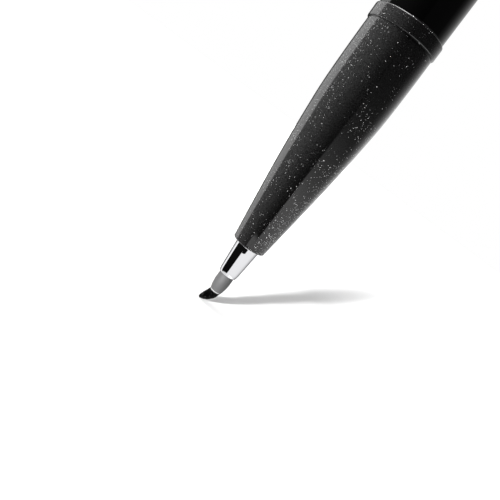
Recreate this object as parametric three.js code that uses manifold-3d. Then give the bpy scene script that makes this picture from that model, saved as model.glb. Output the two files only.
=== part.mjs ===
// A calligraphy marker in the writing position: nib down and bent on the paper, cap posted on the tail.
// Millimetres, +Z up along the pen's axis, origin on that axis where the fingers hold the grip.

import * as THREE from 'three';
import { mergeVertices } from 'three/addons/utils/BufferGeometryUtils.js';
import Module from 'manifold-3d';

// Heights along the axis, from the writing point up.
const FINGER_HOLD = 36; // where the writer holds the pen: the origin
const NOSE = 12.6; // front edge of the grip section
const FERRULE_LIP = 6.4; // open end of the metal ferrule
const SLEEVE_TIP = 2.8; // front rim of the grey nib sleeve
const NIB_HINGE = 2.6; // where the nib point flexes
const COLLAR = NOSE + 39; // front face of the collar ring
const COLLAR_TOP = COLLAR + 2.2;
const BARREL_FRONT = COLLAR_TOP + 0.15;
const BARREL_REAR = 128.6;
const TAIL_END = 132;
const SPIGOT_LENGTH = 10; // how far the grip section's spigot goes into the barrel
const RESERVOIR_FRONT = 40;
const RESERVOIR_REAR = 120;

// Radii of the body and its bores.
const COLLAR_R = 6;
const BARREL_R = 5.7;
const BARREL_BORE = 4.95;
const SPIGOT_R = 4.88; // the grip section's and the tail plug's spigots in the barrel
const CHAMBER_R = 4.32; // room for the reservoir inside both spigots
const NOSE_R = 2.97;
const NOSE_FILLET = 0.5;
const GRIP_OUTLINE = [[0.8, 3.02], [8, 3.92], [16, 4.82], [23.6, 5.47], [28.2, 5.75], [33.8, 5.81], [38.7, 5.76]];
const COLLAR_ROOT_R = 5.75;
const RESERVOIR_R = 3.95;
const FILM = 0.15; // thickness of the film round the reservoir
const PLAY = 0.3; // room left in front of and behind the pieces inside
const FIT = 0.1; // room left all round them

// The nib, its sleeve and the ferrule that holds them.
const FERRULE_NOSE_R = 2.155;
const FERRULE_LIP_R = 1.62;
const FERRULE_TAIL_R = 2.1;
const FERRULE_BORE = 1.46;
const FERRULE_REAR = 20.2;
const NOSE_BORE = FERRULE_NOSE_R + 0.12;
const SLEEVE_R = 1.38; // widest, between the ferrule and the rim
const SLEEVE_NECK_R = 1.34; // inside the ferrule
const SLEEVE_SWELL = 2; // from the rim to where the sleeve is widest
const SLEEVE_TIP_R = 1.07;
const SLEEVE_BORE = 0.92;
const SOCKET_R = 1.03; // hollow in the sleeve's rim that the point's root turns in
const POINT_R = 0.93;
const POINT_TIP_R = 0.15;
const NIB_BEND = THREE.MathUtils.degToRad(35); // the point is pressed sideways on the paper
const STEM_R = 0.84;
const STEM_REAR = 46;
const HOLDER_FRONT = 20.8;
const HOLDER_REAR = 29.4;
const HOLDER_R = 2.92;
const AIR_SLOTS = 4;
const AIR_SLOT_R = 1.9; // how far out they reach

// The cap, from its mouth at zero to its crown.
const CAP_LENGTH = 58;
const POSTED_DEPTH = 26;
const CAP_R = 6.55;
const CAP_MOUTH_R = 6.4;
const MOUTH_TAPER = 12; // the shell widens from its mouth up to here
const CAP_BORE = 5.92;
const CAP_PLUG_R = CAP_BORE - 0.06; // the liner's flange and the crown's spigot
const SHELL_LENGTH = 54.7;
const CROWN_EDGE = SHELL_LENGTH + 0.15;
const LINER_MOUTH = 32.3;
const LINER_TOP = 51.5;
const LINER_BORE = 4;
const CROWN_FLAT_R = 5;
const CLIP_ANGLE = -Math.PI / 4;
const CLIP_WIDTH = 3.4;
const CLIP_THICKNESS = 0.6;
const CLIP_TAB = 53.2; // underside of the clip's tab
const CLIP_TAB_R = 4.6; // how far in the tab reaches
const TAB_PLAY = 0.35; // room for the tab to tilt as the clip lifts
const CLIP_ARM_R = 7.15; // inner face of the clip's arm
const CLIP_END = 13;

const wasm = await Module();
wasm.setup();

const paint = (color, roughness, metalness = 0) => new THREE.MeshStandardMaterial({ color, roughness, metalness });
const glitterPlastic = paint('#17181a', 0.15, 0.2);
const blackPlastic = paint('#0d0e10', 0.2);
const chrome = paint('#c9ccd0', 0.08, 1);
const greyElastomer = paint('#8d8e90', 0.7);
const inkedFibre = paint('#08080a', 0.6);
const stemFibre = paint('#3a3a3c', 0.8);
const whitePlastic = paint('#dcdcd8', 0.45);
const woundFibre = paint('#26262a', 0.9);
const film = paint('#e8e8e6', 0.3);

// Turns an outline, drawn as [radius, height], round the Z axis.
function turned(draw, segments, steps = 3) {
  const outline = new THREE.Path();
  draw(outline);
  return new THREE.LatheGeometry(outline.getPoints(steps), segments).rotateX(Math.PI / 2);
}

// A straight-sided closed outline, turned: a tube or a stepped ring.
function turnedSteps(corners, segments) {
  return turned((outline) => {
    outline.moveTo(...corners[0]);
    corners.slice(1).forEach((corner) => outline.lineTo(...corner));
    if (corners[0][0] > 0) outline.lineTo(...corners[0]);
  }, segments);
}

function solid(geometry) {
  const bare = geometry.clone();
  bare.deleteAttribute('normal');
  bare.deleteAttribute('uv');
  const merged = mergeVertices(bare, 1e-5);
  const index = merged.index.array;
  const whole = [];
  for (let i = 0; i < index.length; i += 3) {
    const [a, b, c] = index.slice(i, i + 3);
    if (a !== b && b !== c && c !== a) whole.push(a, b, c);
  }
  const vertProperties = new Float32Array(merged.attributes.position.array);
  return new wasm.Manifold(new wasm.Mesh({ numProp: 3, vertProperties, triVerts: new Uint32Array(whole) }));
}

function cut(geometry, ...tools) {
  const result = tools.reduce((left, tool) => left.subtract(solid(tool)), solid(geometry)).getMesh();
  const carved = new THREE.BufferGeometry();
  carved.setAttribute('position', new THREE.BufferAttribute(new Float32Array(result.vertProperties), 3));
  carved.setIndex(new THREE.BufferAttribute(new Uint32Array(result.triVerts), 1));
  carved.computeVertexNormals();
  return carved;
}

function piece(name, geometry, material) {
  const mesh = new THREE.Mesh(geometry, material);
  mesh.name = name;
  return mesh;
}

// Front section: a tapering grip with a collar ring, a bore for the ferrule and holder, and a spigot at the back.
function gripSection() {
  const shape = turned((outline) => {
    const ease = 0.25;
    outline.moveTo(NOSE_BORE, NOSE);
    outline.lineTo(NOSE_R - NOSE_FILLET, NOSE);
    outline.quadraticCurveTo(NOSE_R, NOSE, NOSE_R, NOSE + NOSE_FILLET);
    outline.splineThru(GRIP_OUTLINE.map(([height, radius]) => new THREE.Vector2(radius, NOSE + height)));
    outline.lineTo(COLLAR_ROOT_R, COLLAR);
    outline.lineTo(COLLAR_R - ease, COLLAR);
    outline.quadraticCurveTo(COLLAR_R, COLLAR, COLLAR_R, COLLAR + ease);
    outline.lineTo(COLLAR_R, COLLAR_TOP - ease);
    outline.quadraticCurveTo(COLLAR_R, COLLAR_TOP, COLLAR_R - ease, COLLAR_TOP);
    outline.lineTo(SPIGOT_R, COLLAR_TOP);
    outline.lineTo(SPIGOT_R, COLLAR_TOP + SPIGOT_LENGTH);
    outline.lineTo(CHAMBER_R, COLLAR_TOP + SPIGOT_LENGTH);
    outline.lineTo(CHAMBER_R, RESERVOIR_FRONT - 5 * PLAY);
    outline.lineTo(HOLDER_R + FIT, HOLDER_REAR + 2 * PLAY);
    outline.lineTo(HOLDER_R + FIT, FERRULE_REAR + PLAY);
    outline.lineTo(FERRULE_TAIL_R + FIT, FERRULE_REAR + PLAY);
    outline.lineTo(NOSE_BORE, NOSE);
  }, 40, 2);
  return piece('grip_section', shape, glitterPlastic);
}

// Turned metal ferrule: a short polished cone with a rolled-in lip, and a straight tail pressed into the nose.
function ferrule() {
  const shape = turned((outline) => {
    const roll = 0.32; // the lip is rolled in over this height
    const edge = 0.05;
    outline.moveTo(FERRULE_BORE, FERRULE_LIP + 2 * edge);
    outline.quadraticCurveTo(FERRULE_BORE, FERRULE_LIP, FERRULE_BORE + edge, FERRULE_LIP);
    outline.quadraticCurveTo(FERRULE_LIP_R, FERRULE_LIP, FERRULE_LIP_R, FERRULE_LIP + roll);
    outline.lineTo(FERRULE_NOSE_R, NOSE - FIT);
    outline.lineTo(FERRULE_TAIL_R, NOSE + PLAY);
    outline.lineTo(FERRULE_TAIL_R, FERRULE_REAR);
    outline.lineTo(FERRULE_BORE, FERRULE_REAR);
    outline.lineTo(FERRULE_BORE, FERRULE_LIP + 2 * edge);
  }, 32);
  return piece('ferrule', shape, chrome);
}

// Soft grey sleeve round the nib: its rim is hollowed to a cup so that the point can flex in it.
function nibSleeve() {
  const shape = turned((outline) => {
    const rim = SLEEVE_TIP - NIB_HINGE;
    const cupR = Math.sqrt(SOCKET_R ** 2 - rim ** 2);
    const cupEnd = Math.sqrt(SOCKET_R ** 2 - SLEEVE_BORE ** 2);
    const halfway = SOCKET_R / Math.hypot(SLEEVE_BORE + cupR, cupEnd + rim);
    outline.moveTo(cupR, SLEEVE_TIP);
    outline.lineTo(SLEEVE_TIP_R, SLEEVE_TIP);
    outline.quadraticCurveTo(SLEEVE_R, SLEEVE_TIP + SLEEVE_SWELL / 2, SLEEVE_R, SLEEVE_TIP + SLEEVE_SWELL);
    outline.lineTo(SLEEVE_NECK_R, FERRULE_LIP);
    outline.lineTo(SLEEVE_NECK_R, FERRULE_REAR - PLAY);
    outline.lineTo(SLEEVE_BORE, FERRULE_REAR - PLAY);
    outline.lineTo(SLEEVE_BORE, NIB_HINGE + cupEnd);
    outline.lineTo((SLEEVE_BORE + cupR) * halfway, NIB_HINGE + (cupEnd + rim) * halfway);
    outline.lineTo(cupR, SLEEVE_TIP);
  }, 24);
  return piece('nib_sleeve', shape, greyElastomer);
}

// Fibre stem that carries ink from the reservoir to the point.
function nibStem() {
  const front = NIB_HINGE + SOCKET_R + FIT;
  const corners = [[0, front], [STEM_R, front], [STEM_R, STEM_REAR - 1], [STEM_R / 2, STEM_REAR], [0, STEM_REAR]];
  return piece('nib_stem', turnedSteps(corners, 20), stemFibre);
}

// Ink-wet point: a slender cone on a round root, drawn downward from the flexing centre and then bent over.
function nibPoint() {
  const length = (NIB_HINGE - POINT_TIP_R) / Math.cos(NIB_BEND);
  const shape = turned((outline) => {
    const lean = Math.asin((POINT_R - POINT_TIP_R) / length);
    outline.absarc(0, -length, POINT_TIP_R, -Math.PI / 2, -lean, false);
    outline.lineTo(POINT_R * Math.cos(lean), -POINT_R * Math.sin(lean));
    outline.absarc(0, 0, POINT_R, -lean, Math.PI / 2, false);
  }, 24, 4);
  const mesh = piece('nib_point', shape, inkedFibre);
  mesh.position.z = NIB_HINGE;
  mesh.rotation.y = NIB_BEND;
  return mesh;
}

// Bush behind the ferrule that grips the nib's stem; slots along its bore let air back to the reservoir.
function nibHolder() {
  const bore = STEM_R + FIT / 2;
  const bush = turnedSteps(
    [[bore, HOLDER_FRONT], [HOLDER_R, HOLDER_FRONT], [HOLDER_R, HOLDER_REAR], [bore, HOLDER_REAR]], 32);
  const slots = Array.from({ length: AIR_SLOTS }, (_, i) => {
    const slot = new THREE.BoxGeometry(AIR_SLOT_R, 0.5, HOLDER_REAR - HOLDER_FRONT + 2);
    slot.translate(AIR_SLOT_R / 2, 0, (HOLDER_FRONT + HOLDER_REAR) / 2);
    return slot.rotateZ((i * 2 * Math.PI) / AIR_SLOTS);
  });
  return piece('nib_holder', cut(bush, ...slots), whitePlastic);
}

// Ink reservoir: a rod of bundled fibre with a pocket for the stem, wrapped in clear film.
function reservoirCore() {
  const pocket = STEM_R + FIT;
  const corners = [[0, STEM_REAR + PLAY], [pocket, STEM_REAR + PLAY], [pocket, RESERVOIR_FRONT],
    [RESERVOIR_R, RESERVOIR_FRONT], [RESERVOIR_R, RESERVOIR_REAR], [0, RESERVOIR_REAR]];
  return piece('reservoir_core', turnedSteps(corners, 24), woundFibre);
}

function reservoirFilm() {
  const inner = RESERVOIR_R + FIT / 2;
  const outer = inner + FILM;
  const corners = [[inner, RESERVOIR_FRONT - 0.5], [outer, RESERVOIR_FRONT - 0.5],
    [outer, RESERVOIR_REAR + 0.5], [inner, RESERVOIR_REAR + 0.5]];
  return piece('reservoir_film', turnedSteps(corners, 24), film);
}

// Barrel: a plain moulded tube that meets the collar.
function barrel() {
  const shape = turned((outline) => {
    const ease = 0.2;
    outline.moveTo(BARREL_BORE, BARREL_FRONT);
    outline.lineTo(BARREL_R - ease, BARREL_FRONT);
    outline.quadraticCurveTo(BARREL_R, BARREL_FRONT, BARREL_R, BARREL_FRONT + ease);
    outline.lineTo(BARREL_R, BARREL_REAR);
    outline.lineTo(BARREL_BORE, BARREL_REAR);
    outline.lineTo(BARREL_BORE, BARREL_FRONT);
  }, 40);
  return piece('barrel', shape, blackPlastic);
}

// Plug that closes the barrel; its hollow spigot holds the back of the reservoir.
function tailPlug() {
  const spigotFront = RESERVOIR_REAR - 2.5;
  const shape = turned((outline) => {
    const round = 1;
    outline.moveTo(0, RESERVOIR_REAR + 6);
    outline.lineTo(CHAMBER_R, RESERVOIR_REAR + 6);
    outline.lineTo(CHAMBER_R, spigotFront);
    outline.lineTo(SPIGOT_R, spigotFront);
    outline.lineTo(SPIGOT_R, BARREL_REAR + FIT);
    outline.lineTo(BARREL_R, BARREL_REAR + FIT);
    outline.lineTo(BARREL_R, TAIL_END - round);
    outline.quadraticCurveTo(BARREL_R, TAIL_END, BARREL_R - round, TAIL_END);
    outline.lineTo(0, TAIL_END);
  }, 40);
  return piece('tail_plug', shape, blackPlastic);
}

// A block on the clip's side of the cap, wide enough for the clip's tab to pass with room to flex.
function tabSlot(from, to, high) {
  const low = CLIP_TAB - TAB_PLAY;
  const slot = new THREE.BoxGeometry(to - from, CLIP_WIDTH + 2 * PLAY, high - low);
  return slot.translate((from + to) / 2, 0, (low + high) / 2).rotateZ(CLIP_ANGLE);
}

// Outer shell of the cap, open at both ends, with a slot near its top for the clip.
function capShell() {
  const shell = turned((outline) => {
    const ease = 0.3;
    outline.moveTo(CAP_BORE, 0);
    outline.lineTo(CAP_MOUTH_R - ease, 0);
    outline.quadraticCurveTo(CAP_MOUTH_R, 0, CAP_MOUTH_R, ease);
    outline.splineThru([new THREE.Vector2(CAP_R, MOUTH_TAPER), new THREE.Vector2(CAP_R, SHELL_LENGTH)]);
    outline.lineTo(CAP_BORE, SHELL_LENGTH);
    outline.lineTo(CAP_BORE, 0);
  }, 40, 2);
  return piece('cap_shell', cut(shell, tabSlot(CAP_BORE - 1, CAP_R + 1, SHELL_LENGTH + 1)), blackPlastic);
}

// Inner cup of the cap, which seals round the grip's nose so that the nib can't dry out.
function capLiner() {
  const wall = LINER_BORE + 0.7;
  const web = 1.2; // thickness of its closed end
  const flange = 3; // height of the rim that fits the shell
  const corners = [[0, LINER_TOP - web], [LINER_BORE, LINER_TOP - web], [LINER_BORE, LINER_MOUTH],
    [LINER_BORE + 0.4, LINER_MOUTH], [wall, LINER_MOUTH + 1.5], [wall, LINER_TOP - flange],
    [CAP_PLUG_R, LINER_TOP - flange], [CAP_PLUG_R, LINER_TOP], [0, LINER_TOP]];
  return piece('cap_liner', turnedSteps(corners, 32), whitePlastic);
}

// Crown that closes the cap and traps the clip's tab.
function capCrown() {
  const crown = turned((outline) => {
    outline.moveTo(0, LINER_TOP + PLAY);
    outline.lineTo(CAP_PLUG_R, LINER_TOP + PLAY);
    outline.lineTo(CAP_PLUG_R, CROWN_EDGE);
    outline.lineTo(CAP_R, CROWN_EDGE);
    outline.quadraticCurveTo(CAP_R, CAP_LENGTH, CROWN_FLAT_R, CAP_LENGTH);
    outline.lineTo(0, CAP_LENGTH);
  }, 40, 5);
  return piece('cap_crown', cut(crown, tabSlot(CLIP_TAB_R - TAB_PLAY, CAP_R - 0.2, CROWN_EDGE)), blackPlastic);
}

// Spring clip: one bent strip with a tab under the crown, a straight arm and a rounded foot that touches the shell.
function capClip() {
  const strip = new THREE.Shape();
  const outer = CLIP_ARM_R + CLIP_THICKNESS;
  const top = CLIP_TAB + CLIP_THICKNESS;
  const foot = CAP_R + 0.12;
  strip.moveTo(CLIP_TAB_R, CLIP_TAB);
  strip.lineTo(CLIP_ARM_R - 0.2, CLIP_TAB);
  strip.lineTo(CLIP_ARM_R, CLIP_TAB - 0.3);
  strip.lineTo(CLIP_ARM_R, CLIP_END + 5);
  strip.quadraticCurveTo(foot - 0.25, CLIP_END + 3.4, CLIP_ARM_R, CLIP_END + 1.8);
  strip.lineTo(CLIP_ARM_R + 1, CLIP_END);
  strip.lineTo(outer + 1, CLIP_END + 0.2);
  strip.lineTo(outer, CLIP_END + 2.2);
  strip.lineTo(outer, top - 0.8);
  strip.quadraticCurveTo(outer, top, outer - 0.8, top);
  strip.lineTo(CLIP_TAB_R, top);
  strip.closePath();
  const shape = new THREE.ExtrudeGeometry(strip, { depth: CLIP_WIDTH, bevelEnabled: false, curveSegments: 5 });
  shape.translate(0, 0, -CLIP_WIDTH / 2).rotateX(Math.PI / 2);
  const mesh = piece('cap_clip', shape, chrome);
  mesh.rotation.z = CLIP_ANGLE;
  return mesh;
}

const cap = new THREE.Group();
cap.position.z = TAIL_END - POSTED_DEPTH;
cap.add(capShell(), capLiner(), capCrown(), capClip());

const marker = new THREE.Group();
marker.position.z = -FINGER_HOLD;
marker.add(gripSection(), ferrule(), nibSleeve(), nibStem(), nibPoint(), nibHolder());
marker.add(reservoirCore(), reservoirFilm(), barrel(), tailPlug(), cap);

export default marker;
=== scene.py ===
import math

import bmesh
import bpy
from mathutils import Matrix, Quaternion, Vector, noise


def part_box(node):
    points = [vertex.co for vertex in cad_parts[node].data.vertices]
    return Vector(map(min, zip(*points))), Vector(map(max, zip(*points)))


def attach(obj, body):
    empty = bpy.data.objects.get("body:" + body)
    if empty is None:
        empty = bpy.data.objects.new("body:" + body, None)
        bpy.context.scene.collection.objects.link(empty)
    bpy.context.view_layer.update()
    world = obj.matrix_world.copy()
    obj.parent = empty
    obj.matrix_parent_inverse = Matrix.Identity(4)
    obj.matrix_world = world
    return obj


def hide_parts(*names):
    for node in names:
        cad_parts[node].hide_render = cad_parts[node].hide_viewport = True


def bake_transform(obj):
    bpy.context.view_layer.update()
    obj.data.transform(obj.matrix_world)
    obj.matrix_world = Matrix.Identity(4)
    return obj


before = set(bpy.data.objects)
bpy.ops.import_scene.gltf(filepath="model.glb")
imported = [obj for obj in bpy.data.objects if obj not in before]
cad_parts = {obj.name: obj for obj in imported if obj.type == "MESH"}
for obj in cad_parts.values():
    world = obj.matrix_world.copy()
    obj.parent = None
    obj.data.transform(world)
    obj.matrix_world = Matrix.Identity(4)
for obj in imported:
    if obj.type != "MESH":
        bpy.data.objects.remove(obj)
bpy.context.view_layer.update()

# ------------------------------------------------------------------------------------------------------
# Nib point: the end of a felt nib, ground to a blunt bullet and soaked with black ink. It is pressed on
# the paper, so that it bends sideways and its lower side lies flat. It is rooted in the grey jacket.

MM = 0.001
WRITING_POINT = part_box("nib_point")[0].z  # heights are counted up from here, in millimetres
JACKET_RIM = 2.8

# The bent centreline, from the root to the tip: (x, height, radius).
NIB_RIBS = [(0, 3.7, 0.84), (0, 3.2, 0.95), (-0.01, 2.72, 0.99), (-0.2, 2.02, 0.99), (-0.62, 1.3, 0.9),
            (-1.05, 0.8, 0.74), (-1.4, 0.43, 0.52), (-1.64, 0.25, 0.31)]
NIB_TIP = (-1.79, 0.12)
PAPER_SLOPE = math.tan(math.radians(30))  # lean of the flattened side
PAPER_TOUCH = -1.5


def place(x, y, height):
    """A point of the pen in metres: x and y from its axis, height from the writing point."""
    return Vector((x * MM, y * MM, WRITING_POINT + height * MM))


def new_piece(name, mesh, body, slot, *replaced):
    piece = bpy.data.objects.new(name, mesh)
    bpy.context.scene.collection.objects.link(piece)
    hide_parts(*replaced)
    if body:
        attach(piece, body)
    return piece


def closed_mesh(name, bm, crease=35):
    bmesh.ops.recalc_face_normals(bm, faces=bm.faces)
    mesh = bpy.data.meshes.new(name)
    bm.to_mesh(mesh)
    bm.free()
    mesh.shade_smooth()
    mesh.set_sharp_from_angle(angle=math.radians(crease))
    return mesh


def circle(around):
    return [2 * math.pi * k / around for k in range(around)]


def felt_point(around=32):
    bm = bmesh.new()
    rings = []
    for i, (x, height, radius) in enumerate(NIB_RIBS):
        before = NIB_RIBS[max(i - 1, 0)]
        after = NIB_RIBS[min(i + 1, len(NIB_RIBS) - 1)]
        along = Vector((after[0] - before[0], after[1] - before[1])).normalized()
        ring = []
        for angle in circle(around):
            sideways = radius * math.cos(angle)
            across = x - along.y * sideways
            flat = (across - PAPER_TOUCH) * PAPER_SLOPE
            up = max(height + along.x * sideways, flat)
            ring.append(bm.verts.new(place(across, radius * math.sin(angle), up)))
        rings.append(ring)
    for low, high in zip(rings, rings[1:]):
        for k in range(around):
            bm.faces.new((low[k], low[k - 1], high[k - 1], high[k]))
    root = bm.verts.new(place(0, 0, NIB_RIBS[0][1]))
    tip = bm.verts.new(place(NIB_TIP[0], 0, NIB_TIP[1]))
    for k in range(around):
        bm.faces.new((rings[0][k], rings[0][k - 1], root))
        bm.faces.new((rings[-1][k], rings[-1][k - 1], tip))
    return closed_mesh("nib_felt_point", bm, crease=180)


def applied(piece, kind, **settings):
    """Adds a modifier and makes its result the piece's own mesh."""
    modifier = piece.modifiers.new(kind.lower(), kind)
    for key, value in settings.items():
        setattr(modifier, key, value)
    result = bpy.data.meshes.new_from_object(piece.evaluated_get(bpy.context.evaluated_depsgraph_get()))
    piece.modifiers.clear()
    piece.data = result


def linear(code):
    """An sRGB hex colour as linear RGBA."""
    parts = [int(code[i:i + 2], 16) / 255 for i in (1, 3, 5)]
    return [c / 12.92 if c <= 0.04045 else ((c + 0.055) / 1.055) ** 2.4 for c in parts] + [1]


def finish(name):
    """A new node material, still without nodes."""
    material = bpy.data.materials.new(name)
    material.use_nodes = True
    material.node_tree.nodes.clear()
    return material


def add(owner, kind, settings=None, **inputs):
    """Adds a shader node. Inputs, by socket name or as i0, i1 ..., are values or (node, output) links."""
    node = owner.node_tree.nodes.new(kind)
    for key, value in (settings or {}).items():
        setattr(node, key, value)
    for key, value in inputs.items():
        socket = node.inputs[int(key[1:]) if key[1:].isdigit() else key.replace("_", " ")]
        if isinstance(value, tuple) and isinstance(value[0], bpy.types.Node):
            owner.node_tree.links.new(value[0].outputs[value[1]], socket)
        else:
            socket.default_value = value
    return node


# Ink-wet felt: black through and through, and matt except where a film of ink shines on the raised fibres.
def ink_wet_felt():
    m = finish("ink_wet_felt")
    where = add(m, "ShaderNodeTexCoord")
    fibre = add(m, "ShaderNodeTexNoise", Vector=(where, "Object"), Scale=1 / (0.22 * MM), Detail=4.0)
    bump = add(m, "ShaderNodeBump", Height=(fibre, 0), Strength=1.0, Distance=0.25 * MM)
    ink = add(m, "ShaderNodeMix", {"data_type": "RGBA"}, i0=(fibre, 0),
              i6=linear("#010101"), i7=linear("#060606"))
    film = add(m, "ShaderNodeMapRange", Value=(fibre, 0), From_Min=0.59, From_Max=0.64,
               To_Min=0.01, To_Max=1.0)
    wet = add(m, "ShaderNodeBsdfPrincipled", Base_Color=(ink, 2), Roughness=0.6, Specular_IOR_Level=0.03,
              Coat_Weight=(film, 0), Coat_Roughness=0.06, Coat_Normal=(bump, 0), Normal=(bump, 0))
    add(m, "ShaderNodeOutputMaterial", Surface=(wet, 0))
    return m


def fray(mesh, height, depth, grain):
    """Roughens the surface below a height, as loose fibre ends do."""
    for vertex in mesh.vertices:
        if vertex.co.z < place(0, 0, height).z:
            vertex.co += vertex.normal * noise.noise(vertex.co / (grain * MM)) * depth * MM


nib = new_piece("nib_felt_point", felt_point(), None, "ink_wet_fibre", "nib_point")
applied(nib, "SUBSURF", levels=2)
fray(nib.data, JACKET_RIM - 0.2, depth=0.05, grain=0.2)
nib.data.materials.append(ink_wet_felt())
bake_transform(nib)

# ------------------------------------------------------------------------------------------------------
# Nib jacket: a soft grey elastomer sleeve moulded round the felt, with a thin rounded rim where the ink
# stops. Most of it is inside the ferrule, which holds it.

FERRULE_LIP = 6.4
FERRULE_REAR = 20.2
JACKET_END = FERRULE_REAR - 0.3
JACKET_R = 1.34
JACKET_BORE = 0.92
# An outline lists its corners: distance from the axis, height, and how far to each side the rounding goes.
JACKET = [(0.93, 3.15, 0), (0.98, JACKET_RIM - 0.06, 0.03), (1.04, JACKET_RIM - 0.08, 0.04),
          (1.3, 3.85, 1.4), (1.39, 4.8, 1), (1.36, FERRULE_LIP, 0.5), (JACKET_R, 8, 0),
          (JACKET_R, JACKET_END, 0), (JACKET_BORE, JACKET_END, 0), (JACKET_BORE, 3.7, 0)]


def rounded(corners, closed=True, steps=6):
    """The outline with its corners rounded, as (radius, height) points."""
    outline = []
    for i, (radius, height, reach) in enumerate(corners):
        here = Vector((radius, height))
        if not reach or (not closed and i in (0, len(corners) - 1)):
            outline.append(here)
            continue
        back = Vector(corners[i - 1][:2]) - here
        on = Vector(corners[(i + 1) % len(corners)][:2]) - here
        reach = min(reach, back.length * 0.49, on.length * 0.49)
        first = here + back.normalized() * reach
        last = here + on.normalized() * reach
        for k in range(steps + 1):
            t = k / steps
            outline.append(first * (1 - t) ** 2 + here * 2 * t * (1 - t) + last * t * t)
    return outline


def held(outline, closed, reach=0.1):
    """Adds a point near both ends of each long stretch, so that smooth shading keeps it straight."""
    full = []
    for i, here in enumerate(outline):
        full.append(here)
        on = outline[(i + 1) % len(outline)]
        if (closed or i + 1 < len(outline)) and (on - here).length > 5 * reach:
            step = (on - here).normalized() * reach
            full += [here + step, on - step]
    return full


def turned(name, outline, closed=True, around=160):
    """Turns an outline round the pen's axis: closed on itself, or with both its ends on the axis."""
    bm = bmesh.new()
    outline = held(outline, closed)
    rings = []
    for radius, height in outline:
        if radius == 0:
            rings.append([bm.verts.new(place(0, 0, height))] * around)
        else:
            rings.append([bm.verts.new(place(radius * math.cos(a), radius * math.sin(a), height))
                          for a in circle(around)])
    pairs = list(zip(rings, rings[1:]))
    if closed:
        pairs.append((rings[-1], rings[0]))
    for low, high in pairs:
        for k in range(around):
            corners = dict.fromkeys((low[k], low[k - 1], high[k - 1], high[k]))
            if len(corners) > 2:
                bm.faces.new(corners)
    return closed_mesh(name, bm)


# Grey elastomer: matt, slightly cloudy, with the fine texture of its mould and a painted highlight on its
# rim.
def grey_elastomer():
    m = finish("grey_elastomer")
    where = add(m, "ShaderNodeTexCoord")
    grain = add(m, "ShaderNodeTexNoise", Vector=(where, "Object"), Scale=1 / (0.12 * MM), Detail=3.0)
    cloud = add(m, "ShaderNodeTexNoise", Vector=(where, "Object"), Scale=1 / (0.9 * MM), Detail=2.0)
    tone = add(m, "ShaderNodeMix", {"data_type": "RGBA"}, i0=(cloud, 0),
               i6=linear("#363637"), i7=linear("#3e3e3e"))
    height = add(m, "ShaderNodeSeparateXYZ", Vector=(where, "Object"))
    # The pale band along the rim is a painted highlight, mixed over the grey tone.
    painted_rim_highlight = add(m, "ShaderNodeMapRange", Value=(height, 2), From_Min=place(0, 0, JACKET_RIM + 0.14).z,
              From_Max=place(0, 0, JACKET_RIM + 0.04).z)
    tone_and_rim_highlight = add(m, "ShaderNodeMix", {"data_type": "RGBA"}, i0=(painted_rim_highlight, 0), i6=(tone, 2), i7=linear("#8c8c8c"))
    bump = add(m, "ShaderNodeBump", Height=(grain, 0), Strength=0.3, Distance=0.015 * MM)
    shader = add(m, "ShaderNodeBsdfPrincipled", Base_Color=(tone_and_rim_highlight, 2), Roughness=0.6, Normal=(bump, 0))
    add(m, "ShaderNodeOutputMaterial", Surface=(shader, 0))
    return m


jacket = new_piece("nib_jacket", turned("nib_jacket", rounded(JACKET), around=96), "pen", "nib_elastomer",
                   "nib_sleeve")
jacket.data.materials.append(grey_elastomer())

# ------------------------------------------------------------------------------------------------------
# Ferrule: a short cone turned from brass, its open end rolled in over the jacket, then chromed. A tiny
# flare closes the gap to the grip section, and the straight tail behind it is pressed into the grip's nose.

NOSE = 12.6
FERRULE_BORE = 1.46
FLARE_R = 2.2
FERRULE_TAIL_R = 2.1
FERRULE = [(FERRULE_BORE, FERRULE_LIP + 0.5, 0), (FERRULE_BORE, FERRULE_LIP, 0.04),
           (1.58, FERRULE_LIP, 0.22), (1.7, FERRULE_LIP + 0.55, 0.35), (2.149, NOSE - 0.14, 0),
           (FLARE_R, NOSE - 0.03, 0), (FLARE_R, NOSE, 0), (FERRULE_TAIL_R, NOSE + 0.3, 0),
           (FERRULE_TAIL_R, FERRULE_REAR, 0), (FERRULE_BORE, FERRULE_REAR, 0)]


# Chrome plate: a near-perfect mirror over faint turning marks. It returns a little over half of the light,
# and less at its grazing edges.
def chrome_plate():
    m = finish("chrome_plate")
    where = add(m, "ShaderNodeTexCoord")
    marks = add(m, "ShaderNodeTexWave", {"bands_direction": "Z"}, Vector=(where, "Object"),
                Scale=1 / (1.5 * MM), Distortion=2.0, Detail=2.0)
    bump = add(m, "ShaderNodeBump", Height=(marks, 1), Strength=0.03, Distance=0.003 * MM)
    sheen = add(m, "ShaderNodeMapRange", Value=(marks, 1), To_Min=0.03, To_Max=0.05)
    plate = add(m, "ShaderNodeBsdfPrincipled", Base_Color=linear("#c6c6c8"), Metallic=1.0,
                Roughness=(sheen, 0), Specular_Tint=linear("#7c7c7e"), Normal=(bump, 0))
    add(m, "ShaderNodeOutputMaterial", Surface=(plate, 0))
    return m


chrome = chrome_plate()
ferrule = new_piece("chromed_ferrule", turned("chromed_ferrule", rounded(FERRULE)), "pen", "ferrule_chrome",
                    "ferrule")
ferrule.data.materials.append(chrome)

# ------------------------------------------------------------------------------------------------------
# Grip section: one moulding of black polystyrene full of fine silver glitter, with the collar ring that
# the cap stops against. It tapers to a rounded nose, and its spigot is pushed into the barrel.

COLLAR = NOSE + 39
COLLAR_TOP = COLLAR + 2.2
COLLAR_R = 6
SPIGOT_R = 4.88
SPIGOT_END = COLLAR_TOP + 10
CHAMBER_R = 4.32  # room for the reservoir inside the spigot
# The outside of the grip, as (height above the nose, radius).
GRIP_BULGE = [(0.5, 2.98), (0.8, 3.03), (8, 3.93), (16, 4.83), (23.6, 5.48), (28.2, 5.75), (33.8, 5.81),
              (38.6, 5.77)]
HOLDER_R = 3.02
HOLDER_SEAT = 20.5
NOSE_BORE = 2.22


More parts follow.
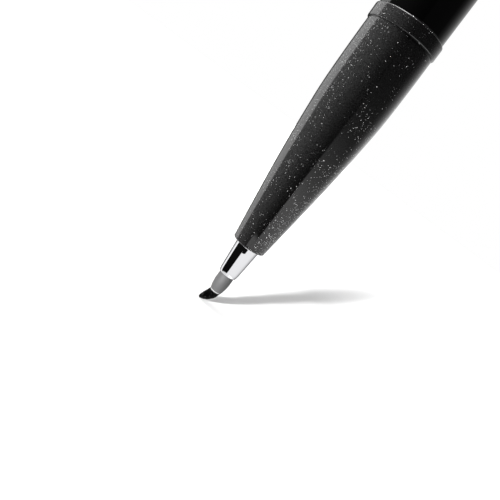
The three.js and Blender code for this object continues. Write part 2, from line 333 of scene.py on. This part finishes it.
def through(points, steps=6):
    """A smooth curve through (height above the nose, radius) points, as corners without rounding."""
    curve = []
    for i in range(len(points) - 1):
        p0, p1, p2, p3 = (Vector(points[min(max(i + k, 0), len(points) - 1)]) for k in (-1, 0, 1, 2))
        for k in range(steps):
            t = k / steps
            q = (2 * p1 + (p2 - p0) * t + (2 * p0 - 5 * p1 + 4 * p2 - p3) * t ** 2
                 + (3 * p1 - p0 - 3 * p2 + p3) * t ** 3) / 2
            curve.append((q[1], NOSE + q[0], 0))
    return curve


GRIP = [(NOSE_BORE, NOSE + 1.5, 0), (NOSE_BORE, NOSE, 0.06), (2.97, NOSE, 0.45)]
GRIP += through(GRIP_BULGE)
GRIP += [(5.77, COLLAR - 0.3, 0), (5.72, COLLAR - 0.2, 0), (5.72, COLLAR, 0), (COLLAR_R, COLLAR, 0.14),
         (COLLAR_R, COLLAR_TOP, 0.6), (5.35, COLLAR_TOP, 0), (SPIGOT_R, COLLAR_TOP, 0),
         (SPIGOT_R, SPIGOT_END, 0), (CHAMBER_R, SPIGOT_END, 0), (CHAMBER_R, 38.5, 0), (HOLDER_R, 30, 0),
         (HOLDER_R, HOLDER_SEAT, 0), (NOSE_BORE, HOLDER_SEAT, 0)]


# Glitter plastic: a clear gloss over black. Fine metal dust in it gives a dark grey haze towards the light,
# and round glitter flakes of two sizes, each lying at its own tilt, flash where they face a light. They
# crowd in a stream that crosses from one side of the grip to the other, as the melt filled the mould.
FLAKES = ((0.17, 0.042, 0.6), (0.5, 0.07, 0.42))  # spacing, radius and the largest share of places filled
FLAKE_TILT = 1.1
STREAM_TURN = place(0, 0, NOSE + 17).z
STREAM_STRENGTH = 3200.0  # per square metre


def glitter_plastic():
    m = finish("glitter_plastic")
    where = add(m, "ShaderNodeTexCoord")
    surface = add(m, "ShaderNodeNewGeometry")
    drift = add(m, "ShaderNodeTexNoise", Vector=(where, "Object"), Scale=1 / (4 * MM), Detail=1.0)
    axes = add(m, "ShaderNodeSeparateXYZ", Vector=(where, "Object"))
    below = add(m, "ShaderNodeMath", {"operation": "SUBTRACT"}, i0=STREAM_TURN, i1=(axes, 2))
    wound = add(m, "ShaderNodeMath", {"operation": "MULTIPLY"}, i0=(axes, 0), i1=(below, 0))
    stream = add(m, "ShaderNodeMath", {"operation": "MULTIPLY_ADD"}, i0=(wound, 0), i1=STREAM_STRENGTH,
                 i2=(drift, 0))
    mask = None
    lean = None
    for spacing, radius, share in FLAKES:
        cells = add(m, "ShaderNodeTexVoronoi", Vector=(where, "Object"), Scale=1 / (spacing * MM))
        chance = add(m, "ShaderNodeSeparateColor", Color=(cells, "Color"))
        near = add(m, "ShaderNodeMath", {"operation": "LESS_THAN"}, i0=(cells, "Distance"),
                   i1=radius / spacing)
        crowd = add(m, "ShaderNodeMapRange", Value=(stream, 0), From_Min=0.35, From_Max=0.7, To_Min=0.07,
                    To_Max=share)
        some = add(m, "ShaderNodeMath", {"operation": "LESS_THAN"}, i0=(chance, 0), i1=(crowd, 0))
        flake = add(m, "ShaderNodeMath", {"operation": "MULTIPLY"}, i0=(near, 0), i1=(some, 0))
        tilt = add(m, "ShaderNodeVectorMath", {"operation": "SUBTRACT"}, i0=(cells, "Color"),
                   i1=(share / 2, 0.5, 0.5))
        spread = add(m, "ShaderNodeVectorMath", {"operation": "MULTIPLY"}, i0=(tilt, 0),
                     i1=(1 / share, 1, 0.5))
        tilted = add(m, "ShaderNodeVectorMath", {"operation": "SCALE"}, i0=(spread, 0), Scale=(flake, 0))
        if mask:
            mask = add(m, "ShaderNodeMath", {"operation": "MAXIMUM"}, i0=(mask, 0), i1=(flake, 0))
            lean = add(m, "ShaderNodeVectorMath", {"operation": "ADD"}, i0=(lean, 0), i1=(tilted, 0))
        else:
            mask = flake
            lean = tilted
    turned_away = add(m, "ShaderNodeVectorMath", {"operation": "MULTIPLY_ADD"}, i0=(lean, 0),
                      i1=(FLAKE_TILT, FLAKE_TILT, FLAKE_TILT), i2=(surface, "Normal"))
    normal = add(m, "ShaderNodeVectorMath", {"operation": "NORMALIZE"}, i0=(turned_away, 0))
    dust = add(m, "ShaderNodeTexNoise", Vector=(where, "Object"), Scale=1 / (0.12 * MM), Detail=2.0)
    grain = add(m, "ShaderNodeMapRange", Value=(dust, 0), From_Min=0.36, From_Max=0.64)
    haze = add(m, "ShaderNodeMix", {"data_type": "RGBA"}, i0=(grain, 0),
               i6=linear("#0b0b0b"), i7=linear("#202020"))
    colour = add(m, "ShaderNodeMix", {"data_type": "RGBA"}, i0=(mask, 0),
                 i6=(haze, 2), i7=linear("#d2d2d2"))
    rough = add(m, "ShaderNodeMapRange", Value=(mask, 0), To_Min=0.6, To_Max=0.25)
    shader = add(m, "ShaderNodeBsdfPrincipled", Base_Color=(colour, 2), Metallic=(mask, 0),
                 Roughness=(rough, 0), Specular_IOR_Level=0.05, Coat_Weight=1.0, Coat_Roughness=0.03,
                 Normal=(normal, 0))
    add(m, "ShaderNodeOutputMaterial", Surface=(shader, 0))
    return m


grip = new_piece("glitter_grip", turned("glitter_grip", rounded(GRIP), around=256), "pen",
                 "glitter_plastic", "grip_section")
grip.data.materials.append(glitter_plastic())

# ------------------------------------------------------------------------------------------------------
# Barrel and tail plug: plain mouldings in glossy black polypropylene. The barrel is pushed over the
# grip's spigot up to the collar, and the plug closes it once the reservoir is in.

BARREL_R = 5.7
BARREL_BORE = 4.95
BARREL_FRONT = COLLAR_TOP + 0.05
BARREL_REAR = 128.6
PLUG_FRONT = 117.5
PLUG_FLOOR = 126
PLUG_EDGE = BARREL_REAR + 0.1
TAIL_END = 132
BARREL = [(BARREL_BORE, BARREL_FRONT, 0), (BARREL_R, BARREL_FRONT, 0.08), (BARREL_R, BARREL_REAR, 0.15),
          (BARREL_BORE, BARREL_REAR, 0)]
PLUG = [(0, PLUG_FLOOR, 0), (CHAMBER_R, PLUG_FLOOR, 0), (CHAMBER_R, PLUG_FRONT, 0),
        (SPIGOT_R, PLUG_FRONT, 0), (SPIGOT_R, PLUG_EDGE, 0), (BARREL_R, PLUG_EDGE, 0.15),
        (BARREL_R, TAIL_END, 1), (0, TAIL_END, 0)]


# Glossy black moulding: straight from a polished mould, very slightly wavy, with some hairline scuffs.
def black_moulding():
    m = finish("black_moulding")
    where = add(m, "ShaderNodeTexCoord")
    wave = add(m, "ShaderNodeTexNoise", Vector=(where, "Object"), Scale=1 / (9 * MM), Detail=2.0)
    scuffs = add(m, "ShaderNodeTexNoise", Vector=(where, "Object"), Scale=1 / (0.4 * MM), Detail=3.0)
    bump = add(m, "ShaderNodeBump", Height=(wave, 0), Strength=0.05, Distance=0.2 * MM)
    rough = add(m, "ShaderNodeMapRange", Value=(scuffs, 0), To_Min=0.05, To_Max=0.13)
    shader = add(m, "ShaderNodeBsdfPrincipled", Base_Color=linear("#030303"), Roughness=(rough, 0),
                 Normal=(bump, 0))
    add(m, "ShaderNodeOutputMaterial", Surface=(shader, 0))
    return m


black = black_moulding()
barrel = new_piece("black_barrel", turned("black_barrel", rounded(BARREL), around=256), "pen",
                   "black_plastic", "barrel")
barrel.data.materials.append(black)
plug = new_piece("black_tail_plug", turned("black_tail_plug", rounded(PLUG, closed=False), closed=False),
                 "pen", "black_plastic", "tail_plug")
plug.data.materials.append(black)

# ------------------------------------------------------------------------------------------------------
# Ink system, inside the barrel: the felt's stem in its slotted nylon bush, and the reservoir, a bundle of
# polyester fibre wrapped in clear film. Their shapes are simple ones, so the frame's own pieces stay.


# Fibre bundle: fine threads along the pen, dark where they have drawn up ink.
def fibre_bundle(name, dark, light, thread):
    m = finish(name)
    where = add(m, "ShaderNodeTexCoord")
    drawn = add(m, "ShaderNodeMapping", Vector=(where, "Object"), Scale=(1, 1, 0.04))
    threads = add(m, "ShaderNodeTexNoise", Vector=(drawn, 0), Scale=1 / (thread * MM), Detail=2.0)
    colour = add(m, "ShaderNodeMix", {"data_type": "RGBA"}, i0=(threads, 0),
                 i6=linear(dark), i7=linear(light))
    bump = add(m, "ShaderNodeBump", Height=(threads, 0), Strength=0.4, Distance=0.05 * MM)
    shader = add(m, "ShaderNodeBsdfPrincipled", Base_Color=(colour, 2), Roughness=0.8, Normal=(bump, 0))
    add(m, "ShaderNodeOutputMaterial", Surface=(shader, 0))
    return m


# White moulded plastic: satin and a little uneven, as small inner mouldings are.
def white_moulding():
    m = finish("white_moulding")
    where = add(m, "ShaderNodeTexCoord")
    cloud = add(m, "ShaderNodeTexNoise", Vector=(where, "Object"), Scale=1 / (2.5 * MM), Detail=3.0)
    colour = add(m, "ShaderNodeMix", {"data_type": "RGBA"}, i0=(cloud, 0),
                 i6=linear("#d6d6d2"), i7=linear("#e4e4e0"))
    rough = add(m, "ShaderNodeMapRange", Value=(cloud, 0), To_Min=0.3, To_Max=0.45)
    shader = add(m, "ShaderNodeBsdfPrincipled", Base_Color=(colour, 2), Roughness=(rough, 0))
    add(m, "ShaderNodeOutputMaterial", Surface=(shader, 0))
    return m


# Clear polyester film: glossy, with faint wrinkles from the wrapping.
def clear_film():
    m = finish("clear_film")
    where = add(m, "ShaderNodeTexCoord")
    wrinkle = add(m, "ShaderNodeTexNoise", Vector=(where, "Object"), Scale=1 / (3 * MM), Detail=2.0)
    bump = add(m, "ShaderNodeBump", Height=(wrinkle, 0), Strength=0.2, Distance=0.1 * MM)
    shader = add(m, "ShaderNodeBsdfPrincipled", Base_Color=linear("#ededeb"), Roughness=0.1, IOR=1.6,
                 Transmission_Weight=0.85, Normal=(bump, 0))
    add(m, "ShaderNodeOutputMaterial", Surface=(shader, 0))
    return m


white = white_moulding()
INNER_FINISHES = {"nib_stem": fibre_bundle("inked_stem_felt", "#1a1a1b", "#3c3c3e", thread=0.08),
                  "nib_holder": white,
                  "reservoir_core": fibre_bundle("reservoir_fibre", "#141416", "#34343a", thread=0.12),
                  "reservoir_film": clear_film(),
                  "cap_liner": white}
for node, material in INNER_FINISHES.items():
    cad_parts[node].data.materials.clear()
    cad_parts[node].data.materials.append(material)

# ------------------------------------------------------------------------------------------------------
# Cap: a black polypropylene shell, glossy like the barrel, slid over the tail. A crown plugs its end and
# traps the tab of the clip, which comes out through a slot under the crown's edge.

CAP_MOUTH = TAIL_END - 26
SHELL_END = CAP_MOUTH + 54.7
CROWN_EDGE = SHELL_END + 0.15
CAP_END = CAP_MOUTH + 58
CAP_R = 6.55
CAP_BORE = 5.92
CLIP_ANGLE = -math.pi / 4
CLIP_WIDTH = 3.4
TAB = CAP_MOUTH + 53.2
SHELL = [(CAP_BORE, CAP_MOUTH, 0.1), (6.4, CAP_MOUTH, 0.3), (6.5, CAP_MOUTH + 5, 3),
         (CAP_R, CAP_MOUTH + 12, 4), (CAP_R, SHELL_END, 0.08), (CAP_BORE, SHELL_END, 0)]
CROWN_FRONT = CAP_MOUTH + 51.8
CROWN_PLUG_R = 5.86
CROWN = [(0, CROWN_FRONT, 0), (CROWN_PLUG_R, CROWN_FRONT, 0), (CROWN_PLUG_R, CROWN_EDGE, 0),
         (CAP_R, CROWN_EDGE, 0.08), (CAP_R, CAP_END - 0.9, 1), (5.9, CAP_END, 0.9), (4.9, CAP_END, 0),
         (0, CAP_END, 0)]


def block(name, inner, outer, width, low, high):
    """A box on the clip's side of the cap, between two radii and two heights."""
    bm = bmesh.new()
    bmesh.ops.create_cube(bm, size=1)
    size = Vector((outer - inner, width, high - low)) * MM
    bmesh.ops.scale(bm, vec=size, verts=bm.verts)
    bmesh.ops.translate(bm, vec=place((inner + outer) / 2, 0, (low + high) / 2), verts=bm.verts)
    bmesh.ops.rotate(bm, matrix=Quaternion((0, 0, 1), CLIP_ANGLE).to_matrix(), verts=bm.verts)
    tool = bpy.data.objects.new(name, closed_mesh(name, bm))
    bpy.context.scene.collection.objects.link(tool)
    return tool


def slotted(piece, inner, outer, high):
    """Cuts the clip's slot through a piece of the cap."""
    tool = block(piece.name + "_slot", inner, outer, CLIP_WIDTH + 0.6, TAB - 0.35, high)
    applied(piece, "BOOLEAN", object=tool, operation="DIFFERENCE", solver="EXACT")
    bpy.data.objects.remove(tool)
    piece.data.shade_smooth()
    piece.data.set_sharp_from_angle(angle=math.radians(35))
    piece.data.materials.clear()
    piece.data.materials.append(black)


shell = new_piece("black_cap_shell", turned("black_cap_shell", rounded(SHELL), around=192), "cap",
                  "black_plastic", "cap_shell")
slotted(shell, CAP_BORE - 1, CAP_R + 1, SHELL_END + 1)
crown_mesh = turned("black_cap_crown", rounded(CROWN, closed=False), closed=False, around=192)
crown = new_piece("black_cap_crown", crown_mesh, "cap", "black_plastic", "cap_crown")
slotted(crown, 4.25, CAP_R - 0.2, CROWN_EDGE)

# ------------------------------------------------------------------------------------------------------
# Clip: one strip of spring steel, chromed, bent over from its tab and pinched in to a foot near its end,
# which presses on the shell. Lifting it bends the strip just below its elbow.

ARM = 7.15
THICK = 0.6
FOOT = CAP_MOUTH + 16.4
ELBOW = 1.1
# The middle line of the strip, as (distance from the axis, height).
STRIP = [(4.6, TAB + THICK / 2, 0), (ARM + THICK / 2, TAB + THICK / 2, ELBOW),
         (ARM + THICK / 2, FOOT + 3, 3), (6.98, FOOT, 1.6), (ARM + 1.2, CAP_MOUTH + 13.25, 0)]


def bent_strip():
    middle = rounded(STRIP, closed=False, steps=10)
    bm = bmesh.new()
    rings = []
    for i, here in enumerate(middle):
        along = (middle[min(i + 1, len(middle) - 1)] - middle[max(i - 1, 0)]).normalized()
        off = Vector((-along.y, along.x)) * THICK / 2
        ring = []
        for side, edge in ((1, -1), (1, 1), (-1, 1), (-1, -1)):
            p = here + off * side
            ring.append(bm.verts.new(place(p.x, edge * CLIP_WIDTH / 2, p.y)))
        rings.append(ring)
    for low, high in zip(rings, rings[1:]):
        for k in range(4):
            bm.faces.new((low[k], low[k - 1], high[k - 1], high[k]))
    bm.faces.new(rings[0])
    bm.faces.new(rings[-1])
    bmesh.ops.rotate(bm, matrix=Quaternion((0, 0, 1), CLIP_ANGLE).to_matrix(), verts=bm.verts)
    return closed_mesh("spring_clip", bm)


clip = new_piece("spring_clip", bent_strip(), None, "clip_steel", "cap_clip")
applied(clip, "BEVEL", width=0.12 * MM, segments=3, limit_method="ANGLE", angle_limit=math.radians(60))
clip.data.shade_smooth()
clip.data.materials.append(chrome)
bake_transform(clip)

# ------------------------------------------------------------------------------------------------------
# Studio: a white floor at the writing point under a white backdrop. What the gloss mirrors is a tall soft
# light on the left, low bounce boards on the right and in front, a wide soft light behind, and a soft box
# overhead, which lights matt surfaces at only a tenth of its strength.


# White card floor: matt with a fine tooth, and lit from inside beyond the shadow, so that it ends in white.
GLOW_STARTS = 0.05
GLOW_FULL = 0.13


def white_floor():
    m = finish("white_floor")
    where = add(m, "ShaderNodeTexCoord")
    tooth = add(m, "ShaderNodeTexNoise", Vector=(where, "Object"), Scale=1 / (0.5 * MM), Detail=2.0)
    rough = add(m, "ShaderNodeMapRange", Value=(tooth, 0), To_Min=0.8, To_Max=0.9)
    middle = add(m, "ShaderNodeVectorMath", {"operation": "LENGTH"}, i0=(where, "Object"))
    glow = add(m, "ShaderNodeMapRange", Value=(middle, "Value"), From_Min=GLOW_STARTS, From_Max=GLOW_FULL,
               To_Min=0, To_Max=0.6)
    paper = add(m, "ShaderNodeBsdfPrincipled", Base_Color=linear("#e8e8e8"), Roughness=(rough, 0),
                Emission_Color=(1, 1, 1, 1), Emission_Strength=(glow, 0))
    add(m, "ShaderNodeOutputMaterial", Surface=(paper, 0))
    return m


FLOOR_RADIUS = 2.5
bm = bmesh.new()
bmesh.ops.create_circle(bm, cap_ends=True, segments=96, radius=FLOOR_RADIUS)
floor = bpy.data.objects.new("floor", closed_mesh("floor", bm))
floor.location.z = WRITING_POINT
bpy.context.scene.collection.objects.link(floor)
floor.data.materials.append(white_floor())
floor.visible_glossy = False
floor.visible_diffuse = False

world = bpy.data.worlds.new("studio")
bpy.context.scene.world = world
world.use_nodes = True
world.node_tree.nodes.clear()
BRIGHTEST = 12.0
OVERHEAD_ON_MATT = 0.1


def profile(value, low, high, stops):
    """How bright the studio is across an angle in degrees, from (angle, brightness) stops."""
    place_in = add(world, "ShaderNodeMapRange", Value=value, From_Min=math.radians(low),
                   From_Max=math.radians(high))
    ramp = add(world, "ShaderNodeValToRGB", Fac=(place_in, 0))
    elements = ramp.color_ramp.elements
    for angle, brightness in stops[1:-1]:
        elements.new((angle - low) / (high - low))
    for element, (angle, brightness) in zip(elements, stops):
        element.color = [brightness / BRIGHTEST] * 3 + [1]
    return add(world, "ShaderNodeMath", {"operation": "MULTIPLY"}, i0=(ramp, 0), i1=BRIGHTEST)


# Azimuth is 0 in front of the pen and negative on its left.
toward = add(world, "ShaderNodeTexCoord")
axes = add(world, "ShaderNodeSeparateXYZ", Vector=(toward, "Generated"))
front = add(world, "ShaderNodeMath", {"operation": "MULTIPLY"}, i0=(axes, 1), i1=-1.0)
azimuth = add(world, "ShaderNodeMath", {"operation": "ARCTAN2"}, i0=(axes, 0), i1=(front, 0))
elevation = add(world, "ShaderNodeMath", {"operation": "ARCSINE"}, i0=(axes, 2))
left = profile((azimuth, 0), -180, 180, [(-180, 0), (-152, 0), (-143, 0.8), (-116, 1.6), (-104, 2.1),
                                         (-101, 2.1), (-98, 0.004), (180, 0)])
left_rise = profile((elevation, 0), -90, 90, [(-90, 0.3), (-45, 1), (45, 1), (60, 0.2), (90, 0.2)])
back = profile((azimuth, 0), -180, 180, [(-180, 0), (90, 0.05), (104, 0.25), (118, 0.75), (140, 1.5),
                                         (172, 1.4), (180, 0.5)])
back_rise = profile((elevation, 0), -90, 90, [(-90, 0.1), (-26, 0.1), (-17, 0.35), (-10, 0.95), (3, 0.8),
                                              (14, 0.5), (40, 0.4), (90, 0.3)])
board = profile((azimuth, 0), -180, 180, [(-180, 0), (20, 0), (24, 1), (95, 0.95), (118, 0.7), (135, 0.36),
                                          (160, 0.18), (180, 0.1)])
board_rise = profile((elevation, 0), -90, 90, [(-90, 0), (-40, 1.3), (-20, 1.5), (-14.6, 0.8), (-6, 0.16),
                                               (5, 0.06), (12, 0.02), (90, 0)])
near_board = profile((azimuth, 0), -180, 180, [(-180, 0), (-14, 0), (-11, 1), (21, 1), (24, 0), (180, 0)])
near_rise = profile((elevation, 0), -90, 90, [(-90, 0), (-40, 1.3), (-27.3, 1.4), (-26.9, 0), (90, 0)])
paper = profile((elevation, 0), -90, 90, [(-90, 1.2), (-38, 1.2), (-34, 0), (90, 0)])
overhead = profile((azimuth, 0), -180, 180, [(-180, 0.3), (-140, 0.5), (-110, 12), (-50, 12), (-10, 2),
                                             (40, 0.2), (180, 0.2)])
overhead_rise = profile((elevation, 0), -90, 90, [(-90, 0), (45, 0), (60, 1), (90, 1)])
ray = add(world, "ShaderNodeLightPath")
matt_share = add(world, "ShaderNodeMapRange", Value=(ray, "Is Diffuse Ray"), To_Min=1,
                 To_Max=OVERHEAD_ON_MATT)
overhead = add(world, "ShaderNodeMath", {"operation": "MULTIPLY"}, i0=(overhead, 0), i1=(matt_share, 0))
total = (paper, 0)
for across, rise in ((left, left_rise), (back, back_rise), (board, board_rise), (near_board, near_rise),
                     (overhead, overhead_rise)):
    summed = add(world, "ShaderNodeMath", {"operation": "MULTIPLY_ADD"}, i0=(across, 0), i1=(rise, 0),
                 i2=total)
    total = (summed, 0)
studio = add(world, "ShaderNodeBackground", Strength=total)
backdrop = add(world, "ShaderNodeBackground", Strength=1.0)
for each in (studio, backdrop):
    each.inputs["Color"].default_value = (1, 1, 1, 1)
seen = add(world, "ShaderNodeMixShader", i0=(ray, "Is Camera Ray"), i1=(studio, 0), i2=(backdrop, 0))
add(world, "ShaderNodeOutputWorld", Surface=(seen, 0))

# A lamp on the left lights the dust in the grip. It leaves out the floor, the jacket and the nib.
lamp = bpy.data.objects.new("left_lamp", bpy.data.lights.new("left_lamp", "AREA"))
bpy.context.scene.collection.objects.link(lamp)
lamp.data.shape = "RECTANGLE"
lamp.data.size = 0.25
lamp.data.size_y = 0.5
lamp.data.energy = 42
lamp.location = (-0.6, -0.03, 0.05)
lamp.rotation_mode = "QUATERNION"
lamp.rotation_quaternion = (-lamp.location).to_track_quat("-Z", "Y")
lamp.visible_glossy = False
lamp.visible_camera = False

unlit = bpy.data.collections.new("not_lit_by_left_lamp")
for piece in (floor, jacket, nib):
    unlit.objects.link(piece)
lamp.light_linking.receiver_collection = unlit
for linked in unlit.collection_objects:
    linked.light_linking.link_state = "EXCLUDE"

# A light from the front left lights the floor and the jacket, and gives the pen its soft shadow.
FLOOR_LIGHT_WAY = Vector((0.41, 0.91, -0.24))
sun = bpy.data.objects.new("floor_light", bpy.data.lights.new("floor_light", "SUN"))
bpy.context.scene.collection.objects.link(sun)
sun.data.energy = 12
sun.data.angle = math.radians(3.5)
sun.rotation_mode = "QUATERNION"
sun.rotation_quaternion = FLOOR_LIGHT_WAY.to_track_quat("-Z", "Y")
lit = bpy.data.collections.new("lit_by_floor_light")
lit.objects.link(floor)
lit.objects.link(jacket)
sun.light_linking.receiver_collection = lit

# A small white card below and in front of the nose, which only the ferrule mirrors.
CARD_Y = -8
CARD_CORNERS = [(-1.4, -2), (3.5, -2), (3.5, 8.7), (-1.4, 8.7)]
card_mesh = bpy.data.meshes.new("white_card")
card_mesh.from_pydata([place(x, CARD_Y, height) for x, height in CARD_CORNERS], [], [(0, 1, 2, 3)])
card = bpy.data.objects.new("white_card", card_mesh)
bpy.context.scene.collection.objects.link(card)
glow = finish("white_card")
shine = add(glow, "ShaderNodeEmission", Strength=1.45)
add(glow, "ShaderNodeOutputMaterial", Surface=(shine, 0))
card_mesh.materials.append(glow)
card.visible_camera = False
card.visible_diffuse = False
card.visible_shadow = False

# ------------------------------------------------------------------------------------------------------
# Camera: close to the nose and a little above it, rolled so that the pen leans over to the right.

RISE = math.radians(14)
DISTANCE = 89.83
ROLL = math.radians(36.37)
RISES_FROM = NOSE - 0.36
AIM = place(0.64, 0, 12.04)
camera = bpy.data.objects.new("camera", bpy.data.cameras.new("camera"))
bpy.context.scene.collection.objects.link(camera)
bpy.context.scene.camera = camera
camera.data.lens = 38.95
camera.data.clip_start = 0.005
camera.data.clip_end = 20
camera.location = place(0, -DISTANCE * math.cos(RISE), RISES_FROM + DISTANCE * math.sin(RISE))
look = (AIM - camera.location).to_track_quat("-Z", "Y")
camera.rotation_mode = "QUATERNION"
camera.rotation_quaternion = look @ Quaternion((0, 0, 1), ROLL)

bpy.context.scene.view_settings.view_transform = "Standard"
